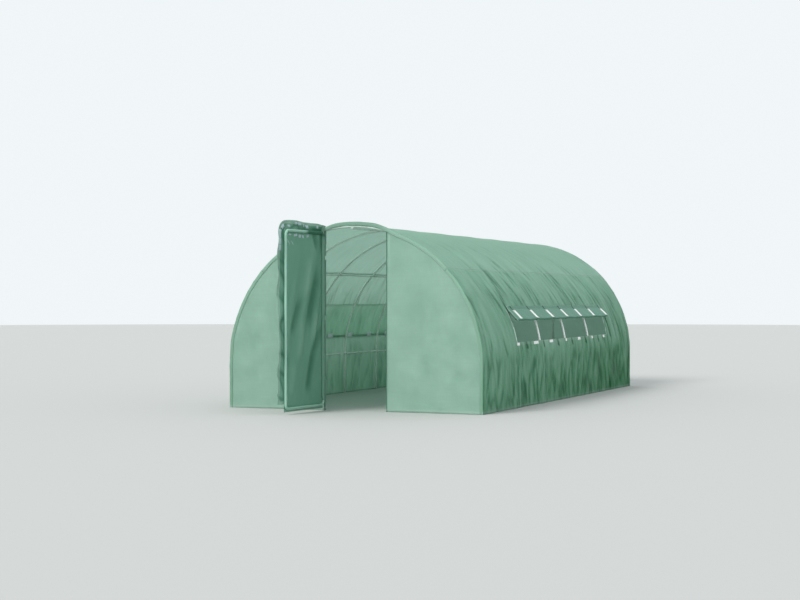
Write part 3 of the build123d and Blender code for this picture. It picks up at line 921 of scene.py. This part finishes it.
flap_right = hang(
    "window_flap_cloth_right",
    cut_cloth([station[0] for station in fold_stations], spread(FLAP_FRONT, FLAP_REAR, 190)),
    lambda distance, y: folded_point(*fold_places[min(fold_places, key=lambda at: abs(at - distance))], distance, y),
    lambda distance, y: min(distance + HEM, FOLDED_WIDE - distance, y - FLAP_FRONT, FLAP_REAR - y),
    "tunnel",
    open_flap_cloth,
    ["window_flap_right"],
    # Painted shade over the whole flap, full in the inner folds under the band.
    painted_shading=lambda distance, y: -0.3 - 0.7 * smooth((distance - BAND - 0.004) / 0.01),
)


def on_band(distance, y):
    """Place on the open flap's upper layer, just off its cloth."""
    after = next(number for number, station in enumerate(fold_stations) if station[0] >= distance)
    (near, start, _), (far, end, heading) = fold_stations[after - 1], fold_stations[after]
    return folded_point(start.lerp(end, (distance - near) / (far - near)), heading, distance, y, 0.0006)


strip_tapes = [
    (0.113, place, 0.112, 0.078, 0.02 + 0.01 * waver(number * 1.7, 3)) for number, place in enumerate(STRIP_PLACES)
]
lay_tapes("window_hook_strips", strip_tapes, on_band, "tunnel", white_tape, ["window_strips"])

# Narrow dark strips above the hook strips: painted shade where the cloth pinches.
shade_strips = [(0.037, place - 0.045, 0.07, 0.022, 0.05) for place in STRIP_PLACES]
lay_tapes("window_shade_strips", shade_strips, on_band, "tunnel", shade_strip_material)

end_tapes = [
    ((HEAD + SILL) / 2, WINDOW_FRONT - 0.042, SILL - HEAD, 0.017, 0.09),
    ((HEAD + SILL) / 2, WINDOW_REAR, SILL - HEAD + 0.02, 0.013, 0),
]
edge_webbing = hook_tape("edge_webbing", (0.66, 0.86, 0.78), 0.7)
lay_tapes("window_end_tapes", end_tapes, on_cover(1, TAPE_LIFT), "tunnel", edge_webbing)

tab_sizes = ((0.105, 0), (0.15, 0.03), (0.12, 0.032), (0.06, 0.04), (0.095, 0.024), (0.08, 0.01), (0.065, 0))
sill_tabs = [(SILL + 0.022, place + shift, 0.037, width, 0) for place, (width, shift) in zip(TAB_PLACES, tab_sizes)]
lay_tapes(
    "window_sill_tabs", sill_tabs, on_cover(1, TAPE_LIFT), "tunnel", white_tape, ["window_tabs_right"]
)
blue_tape = hook_tape("blue_tape", (0.90, 0.93, 1.0), 0.6)
inner_tabs = [(SILL + 0.004, place, 0.056, 0.14, 0.004) for place in INNER_TAB_PLACES]
lay_tapes(
    "closed_flap_tabs", inner_tabs, on_cover(-1, -0.004), "tunnel", blue_tape, ["window_tabs_left"]
)


def closed_flap_ridge(around, y):
    return crest((y - 0.06 * around) / 0.16, around / 0.5, 37)


def closed_flap_point(around, y):
    """Place of the closed flap: it hangs free of the opening in upright folds, from a straight sewn line."""
    drop = smooth((around - HEAD + FLAP_LAP) / 0.12)
    folds = 0.011 * (0.5 + 0.5 * waver((y + 0.1 * around) / 0.075, around / 0.6, 33))
    folds += 0.008 * closed_flap_ridge(around, y)
    return cover_point(-around, y - COVER_START, 0.0045 + drop * folds)


def closed_flap_painted_shading(around, y):
    # Painted highlights on the hanging folds' ridges and broad patches of painted shade.
    painted_shade = smooth(2.4 * waver((y - 0.3 * around) / 0.35, around / 0.25, 41))
    return 0.6 * closed_flap_ridge(around, y) - 0.32 * painted_shade


FLAP_TOP = HEAD - FLAP_LAP
FLAP_FOOT = SILL + 0.03
flap_left = hang(
    "window_flap_cloth_left",
    cut_cloth(spread(FLAP_TOP, FLAP_FOOT, 22), spread(FLAP_FRONT, FLAP_REAR, 210)),
    closed_flap_point,
    lambda around, y: min(around - FLAP_TOP, FLAP_FOOT - around, y - FLAP_FRONT, FLAP_REAR - y),
    "tunnel",
    closed_flap_cloth,
    ["window_flap_left"],
    flip=True,
    painted_shading=closed_flap_painted_shading,
)

# Hinge clips
# Three bands of zinc-plated strip, each bent in a figure of eight: one eye grips the post, the other turns on
# the leaf's stile, and a screw with a nut pinches the waist between them.
hinge = Vector(frame["joints"][0]["pos_m"])
post_centre = Vector((-POST_X, HOOP_PLACES[0], 0))
POST_EYE = TUBE / 2 + 0.0003
STILE_EYE = TUBE / 2 + 0.0006
STRIP_WALL = 0.0026
STRIP_ROUND = 0.0008
CLIP_TALL = 0.03
WAIST_LAP = 0.002
WAIST_THICK = 0.0075
for clip, (low, _) in CLIPS.items():
    band = bmesh.new()
    for centre, inner in ((post_centre, POST_EYE), (hinge, STILE_EYE)):
        profile = [
            band.verts.new((centre.x + inner + x, centre.y, low.z + z))
            for x, z in ((0, 0), (STRIP_WALL, STRIP_ROUND), (STRIP_WALL, CLIP_TALL - STRIP_ROUND), (0, CLIP_TALL))
        ]
        edges = [band.edges.new(pair) for pair in zip(profile, profile[1:] + profile[:1])]
        bmesh.ops.spin(band, geom=edges, cent=centre, axis=(0, 0, 1), angle=2 * pi, steps=40, use_merge=True)
    gap = (hinge - post_centre).length - TUBE - 2 * STRIP_WALL
    waist = Matrix.Translation((hinge + post_centre) / 2 + UP * (low.z + CLIP_TALL / 2))
    waist @= (hinge - post_centre).to_track_quat("X", "Z").to_matrix().to_4x4()
    block = Matrix.Diagonal((gap + 2 * WAIST_LAP, WAIST_THICK, CLIP_TALL, 1))
    bmesh.ops.create_cube(band, size=1, matrix=waist @ block)
    turned = waist @ Matrix.Rotation(pi / 2, 4, "X")
    for radius, sides, length, shift in (
        (0.0025, 16, 0.024, 0),
        (0.005, 6, 0.0035, 0.0055),
        (0.005, 6, 0.004, -0.0058),
    ):
        add_rod(band, radius, sides, length, turned @ Matrix.Translation((0, 0, shift)))
    bmesh.ops.recalc_face_normals(band, faces=band.faces)
    show(f"hinge_band_{clip}", band, "tunnel", screw_zinc, [f"hinge_clip_{clip}"], rounded=False)

# Door leaf
# One loop of 25 mm tube in a sewn sleeve. A cloth panel hangs outside it, and a border flap runs along its top
# and free side, with pieces of hook tape on its inner face that close it against the wall.
LEAF_TURN = radians(95)
LEAF_ALONG = Vector((cos(LEAF_TURN), -sin(LEAF_TURN), 0))
LEAF_OUT = Vector((-sin(LEAF_TURN), -cos(LEAF_TURN), 0))
LEAF_WIDE = 0.765
LEAF_LOW = 0.06
LEAF_HIGH = 1.92
LEAF_CORNER = 0.05
PANEL_SET = TUBE / 2 + 0.0016
PANEL_LOW = LEAF_LOW - 0.035
PANEL_HIGH = LEAF_HIGH + TUBE / 2
SLEEVE_RADIUS = TUBE / 2 + 0.0011
BORDER = 0.088
CLIP_HEIGHTS = [low.z + CLIP_TALL / 2 for low, _ in CLIPS.values()]
SLIT_HALF = 0.021
SLIT_END = 0.0195
# The door cloth is a much darker copy of the cover's cloth: partly a heavier cloth that lets less light through,
# partly painted shade on the leaf's shaded face. The sleeve cloth is a lighter copy: a painted highlight on the free
# stile's round tube.
door_cloth = woven_cloth("door_cloth", (0.145, 0.36, 0.25), (0.11, 0.305, 0.21), (0.20, 0.46, 0.33), 0.2)
sleeve_cloth = woven_cloth("sleeve_cloth", (0.31, 0.57, 0.45), (0.27, 0.52, 0.40), (0.4, 0.7, 0.6), 0.1)


def leaf_point(along, height, out=0.0):
    return hinge + LEAF_ALONG * along + LEAF_OUT * out + UP * height


RAIL = LEAF_WIDE - 2 * LEAF_CORNER
STILE = LEAF_HIGH - LEAF_LOW - 2 * LEAF_CORNER
BEND = LEAF_CORNER * pi / 2
LOOP = 2 * (RAIL + STILE) + 4 * BEND
LEAF_RINGS = 160


def loop_point(way):
    """Middle of the leaf's tube in the leaf's plane, and the way it heads, from the hinge end of the top rail
    over the free stile and back; a negative way runs straight on past the hinge end."""
    corners = ((LEAF_CORNER, LEAF_HIGH), (LEAF_WIDE, LEAF_HIGH - LEAF_CORNER), (RAIL + LEAF_CORNER, LEAF_LOW))
    corners += ((0, LEAF_LOW + LEAF_CORNER),)
    heading = 0.0
    for (along, height), side in zip(corners, (RAIL, STILE, RAIL, STILE)):
        ahead, outward = ahead_and_left(heading)
        if way <= side:
            return Vector((along, height)) + ahead * way, heading
        way -= side
        if way <= BEND:
            turn = way / LEAF_CORNER
            middle = Vector((along, height)) + ahead * side - outward * LEAF_CORNER
            return middle + outward * LEAF_CORNER * cos(turn) + ahead * LEAF_CORNER * sin(turn), heading - turn
        way -= BEND
        heading -= pi / 2
    return Vector(corners[0]), 0.0


leaf_tube = bmesh.new()
rings = []
leaf_axes = Matrix((LEAF_ALONG, LEAF_OUT, UP)).transposed().to_4x4()
for step in range(LEAF_RINGS):
    middle, heading = loop_point(LOOP * step / LEAF_RINGS)
    turn = leaf_axes @ Matrix.Rotation(pi / 2 - heading, 4, "Y")
    made = bmesh.ops.create_circle(
        leaf_tube,
        segments=ROUND,
        radius=TUBE / 2,
        matrix=Matrix.Translation(leaf_point(middle.x, middle.y)) @ turn,
    )
    rings.append(list({edge for vert in made["verts"] for edge in vert.link_edges}))
for ring, after in zip(rings, rings[1:] + rings[:1]):
    bmesh.ops.bridge_loops(leaf_tube, edges=ring + after)
bmesh.ops.recalc_face_normals(leaf_tube, faces=leaf_tube.faces)
show("leaf_tube", leaf_tube, "door", tube_zinc, ["door_frame"])

RAIL_HIDDEN = 0.27
SLEEVE_CLOTH = 0.0008
SLEEVE_SEAM = radians(-84)
CLIP_OPEN = radians(125)
WEB_TURN = radians(211)
clip_ways = [LOOP - BEND - (LEAF_HIGH - LEAF_CORNER - height) for height in CLIP_HEIGHTS]


def sleeve_point(girth, way):
    """Place of the sleeve's cloth, which puckers across the tube. Up the hinge stile and over the first part of
    the top rail it is loose, runs out on to the panel from the tangent WEB_TURN, and passes over the clips."""
    middle, heading = loop_point(way % LOOP)
    turn = girth / SLEEVE_RADIUS
    radius = SLEEVE_RADIUS + 0.0012 * crest(way / 0.06, turn / 3, 12) + 0.0006 * (1 + waver(way / 0.02, turn, 4))
    if way > LOOP - BEND - STILE:
        at_clip = smooth(1.9 - min(abs(way - place) for place in clip_ways) / 0.032)
        ends = smooth((LOOP + RAIL_HIDDEN - way) / 0.05) * smooth((way - LOOP + BEND + STILE) / 0.05)
        loose = 0.001 + 0.004 * crest(way / 0.3, turn / 2.5, 25)
        radius += (1 - at_clip) * loose * smooth((turn - radians(140)) / 0.7) * ends
        if pi / 2 < turn < WEB_TURN:
            radius += ends * SLEEVE_RADIUS * (1 / max(sin(turn), cos(turn - WEB_TURN)) - 1)
        radius = max(radius, SLEEVE_RADIUS + at_clip * 0.0038 * smooth((turn - CLIP_OPEN + 0.5) / 0.5))
    side = ahead_and_left(heading)[1] * cos(turn) * radius
    return leaf_point(middle.x + side.x, middle.y + side.y, sin(turn) * radius)


def sleeve_painted_shade(way, at_hinge):
    """Painted shade on the sleeve: most on the top rail, at the hinge end of each of its two lengths."""
    return -0.9 * smooth((way - LOOP + 0.12) / 0.1) if at_hinge else -smooth((0.36 - way) / 0.09)


# The free length wears the lighter sleeve cloth, a painted highlight; the hinge length wears the darker door cloth.
for name, start, end, material, at_hinge, girth_wide in (
    ("leaf_sleeve_free", RAIL_HIDDEN, LOOP - BEND - STILE, sleeve_cloth, False, 0.086),
    ("leaf_sleeve_hinge", LOOP - BEND - STILE, LOOP + RAIL_HIDDEN, door_cloth, True, 0.106),
):
    cloth = cut_cloth(
        spread(SLEEVE_RADIUS * SLEEVE_SEAM, SLEEVE_RADIUS * (SLEEVE_SEAM + 2 * pi), 24),
        spread(start, end, ceil((end - start) / 0.012)),
    )
    if at_hinge:
        for place in clip_ways:
            cut_away(cloth, (-1, place - SLIT_HALF), (SLEEVE_RADIUS * CLIP_OPEN, place + SLIT_HALF))
    sleeve = hang(
        name,
        cloth,
        sleeve_point,
        lambda girth, way: 1,
        "door",
        material,
        [],
        thickness=SLEEVE_CLOTH,
        painted_shading=lambda girth, way: sleeve_painted_shade(way, at_hinge),
    )

PANEL_FOLDS = (
    ((0.04, 1.58), (0.29, 0.84), 0.11, 1),
    ((0.40, 1.26), (0.63, 0.78), 0.09, 0.9),
    ((0.00, 0.94), (0.17, 0.60), 0.08, 0.8),
    ((0.14, 0.72), (0.31, 0.14), 0.09, 1),
    ((0.68, 0.66), (0.73, 0.30), 0.06, 0.6),
    ((0.22, 2.02), (0.08, 1.72), 0.07, 1),
    ((0.05, 2.02), (0.01, 1.66), 0.045, 1),
    ((0.24, 1.66), (0.36, 1.20), 0.08, -0.45),
    ((0.12, 1.10), (0.20, 0.72), 0.07, -0.5),
    ((0.38, 1.00), (0.48, 0.52), 0.09, -0.5),
    ((0.56, 0.52), (0.66, 0.16), 0.08, -0.3),
)


def panel_fold(along, height):
    """How deep a place of the panel lies in a fold: 1 at the bottom of a hollow and less than 0 on a ridge."""
    spot = Vector((along, height))
    depth = 0
    for start, end, half, most in PANEL_FOLDS:
        run = Vector(end) - Vector(start)
        share = min(1, max(0, (spot - Vector(start)).dot(run) / run.length_squared))
        apart = (spot - Vector(start) - run * share).length
        depth += most * smooth(1.05 - apart / half) * smooth(0.1 + min(share, 1 - share) / 0.35)
    return min(1, depth)


def panel_wave(along, height):
    """Broad waves that lean towards the free side as they fall, from -1 to 1."""
    return waver((along + 0.3 * height) / 0.13, height / 1.1, 2)


def panel_billow(along, height):
    """How far the panel stands off its plane, in its folds and waves."""
    edge = smooth((along - 0.028) / 0.07) * smooth((LEAF_WIDE - along) / 0.05) * smooth((LEAF_HIGH - height) / 0.08)
    edge *= 0.35 + 0.65 * smooth((height - LEAF_LOW) / 0.1)
    calm = 0.4 + 0.6 * smooth((1.7 - height) / 0.5)
    return edge * (0.022 * panel_fold(along, height) + 0.016 * calm * panel_wave(along, height))


# Painted highlights along the panel's waves and painted shade in its folds.
def panel_painted_shading(along, height):
    return 0.3 * max(0, -panel_wave(along, height)) - 0.72 * panel_fold(along, height)


panel = cut_cloth(spread(-TUBE / 2, LEAF_WIDE + TUBE / 2, 56), spread(PANEL_LOW, PANEL_HIGH, 120))
for height in CLIP_HEIGHTS:
    cut_away(panel, (-1, height - SLIT_HALF), (SLIT_END, height + SLIT_HALF))
door_panel = hang(
    "door_panel_cloth",
    panel,
    lambda along, height: leaf_point(along, height, PANEL_SET + panel_billow(along, height)),
    lambda along, height: min(height - PANEL_LOW, along + TUBE / 2),
    "door",
    door_cloth,
    ["door_panel"],
    flip=True,
    painted_shading=panel_painted_shading,
)


def border_point(reach, way, lift=0.0):
    """Place of the border flap: reach is measured out from the tube and way along it, as in loop_point. It
    leans outwards in waves, and towards the hinge it leans inwards in deep folds."""
    middle, heading = loop_point(way)
    outward = ahead_and_left(heading)[1]
    share = max(0, reach) / BORDER
    slump = smooth((0.32 - way) / 0.3)
    swell = 0.14 * smooth(1.2 - abs(way - 0.53) / 0.2) + 0.12 * smooth(1 - abs(way - 0.87) / 0.14)
    length = reach * (1 + (swell + 0.05 * waver(way / 0.2, 5) - 0.09 * slump) * share)
    spot = middle + outward * (TUBE / 2 + length)
    spot.x -= 0.075 * share**2 * smooth((0.06 - way) / 0.12)
    spot.y -= 0.014 * share**2 * smooth((0.08 - way) / 0.14)
    out = PANEL_SET + 0.0012 + share**1.3 * (0.010 + 0.036 * waver(way / 0.21, share * 0.7, 14))
    out += 0.008 * share * border_fold(reach, way) - 0.022 * slump * share
    return leaf_point(spot.x, spot.y, out + lift)


def border_fold(reach, way):
    return crest((way + 1.1 * reach) / 0.2, reach / BORDER * 0.5, 18)


# Painted highlights on the border's ridges, and painted shade in its folds and near the hinge.
def border_painted_shading(reach, way):
    near_hinge = smooth((0.30 - way) / 0.2) * smooth(1.3 - reach / 0.05)
    ridge = max(0, waver(way / 0.21, reach / BORDER * 0.7, 14))
    return 0.6 * ridge - max(0.9 * border_fold(reach, way), near_hinge)


border_start = -LEAF_CORNER - TUBE / 2
border_end = RAIL + BEND + STILE
border = hang(
    "door_border_flap",
    cut_cloth(spread(-0.012, BORDER, 12), spread(border_start, border_end, 230)),
    border_point,
    lambda reach, way: min(BORDER - reach, way - border_start, border_end - way),
    "door",
    door_cloth,
    ["door_side_flap", "door_top_flap"],
    painted_shading=border_painted_shading,
)

INNER_FACE = -0.0012
# The door's hook tape is white tape coloured grey-blue: painted shade of the leaf's shaded side.
door_tape = hook_tape("door_tape", (0.41, 0.55, 0.56), 0.75)
border_tapes = [
    (0.034, 0.623, 0.024, 0.045, 0.014),
    (0.063, 0.478, 0.024, 0.060, -0.008),
    (0.062, 0.405, 0.028, 0.055, 0.006),
    (0.050, 0.325, 0.030, 0.018, 0),
    (0.039, 0.262, 0.034, 0.055, 0.012),
    (0.047, 0.068, 0.034, 0.038, 0.012),
    (0.050, 0.697, 0.030, 0.026, 0),
    (0.060, 0.748, 0.034, 0.058, 0.004),
    (0.062, 0.812, 0.036, 0.068, -0.003),
    (0.060, 0.878, 0.034, 0.060, 0.003),
]
lay_tapes(
    "door_border_tapes",
    border_tapes,
    lambda reach, way: border_point(reach, way, INNER_FACE),
    "door",
    door_tape,
    ["door_tapes"],
    flip=True,
)
panel_tapes = [
    (0.661, 1.880, 0.055, 0.018, 0.006),
    (0.545, 1.877, 0.060, 0.030, -0.006),
    (0.462, 1.869, 0.050, 0.034, 0.004),
    (0.398, 1.867, 0.036, 0.030, 0.012),
    (0.300, 1.876, 0.045, 0.030, -0.014),
    (0.683, 1.803, 0.045, 0.013, 0.05),
    (0.608, 1.793, 0.040, 0.013, 0.04),
]
lay_tapes(
    "door_panel_tapes",
    panel_tapes,
    lambda along, height: leaf_point(along, height, PANEL_SET + panel_billow(along, height) + INNER_FACE),
    "door",
    door_tape,
)
